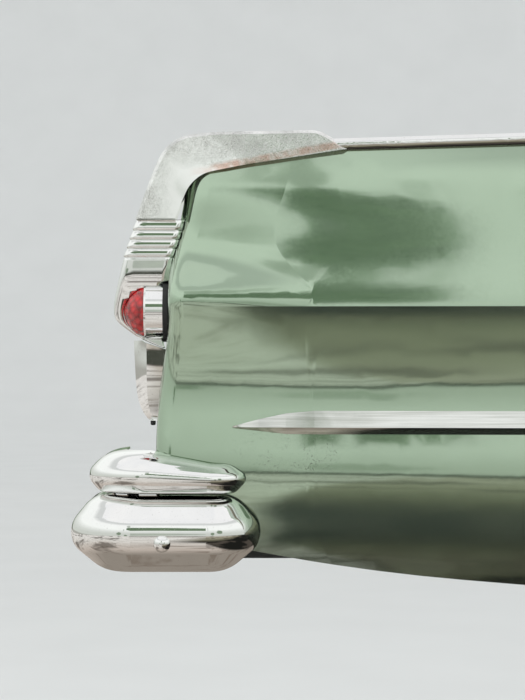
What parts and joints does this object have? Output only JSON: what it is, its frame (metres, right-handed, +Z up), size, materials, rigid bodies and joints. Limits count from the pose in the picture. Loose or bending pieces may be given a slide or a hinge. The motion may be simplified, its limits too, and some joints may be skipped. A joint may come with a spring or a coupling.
{
  "type": "right rear wing of a 1950s classic car, with fin lamp and bumper end",
  "caption": "Right rear quarter of a 1950s car: painted wing with a low wheel arch, chrome-capped fin, tail lamp, side spear, belt moulding and wraparound bumper end.",
  "frame": {"origin": "on the bolt rail's face that meets the body's side, above the rear axle, 945 mm above the road", "axes": "+X forward along the car, +Y inboard towards the body, +Z up"},
  "size_m": [1.9454, 0.222, 0.7341],
  "materials": {
    "paint": "gloss",
    "underside_paint": "satin",
    "chrome": "bright",
    "pitted_chrome": "pitted",
    "lens_red": "moulded",
    "bulb_glass": "clear",
    "bright_steel": "satin",
    "rubber": "matte",
    "dark_steel": "satin"
  },
  "bodies": {
    "root": {"belt_moulding": "bright_steel", "bolt_rail": "underside_paint", "bridge_bolts": "bright_steel", "bulb_glass": "bulb_glass", "bulb_socket": "bright_steel", "bumper_arm": "dark_steel", "bumper_bolt": "chrome", "bumper_bridge": "dark_steel", "bumper_lower_bar": "chrome", "bumper_nut": "bright_steel", "bumper_upper_bar": "chrome", "fin_cap": "pitted_chrome", "fin_top": "paint", "finial": "chrome", "finial_plug": "rubber", "front_baffle": "underside_paint", "lamp_gasket": "rubber", "lamp_housing": "chrome", "lamp_ring": "chrome", "lens": "lens_red", "reflector": "bright_steel", "side_stay": "dark_steel", "spear": "chrome", "wheelhouse": "underside_paint", "wing_skin": "paint"}
  },
  "joints": []
}
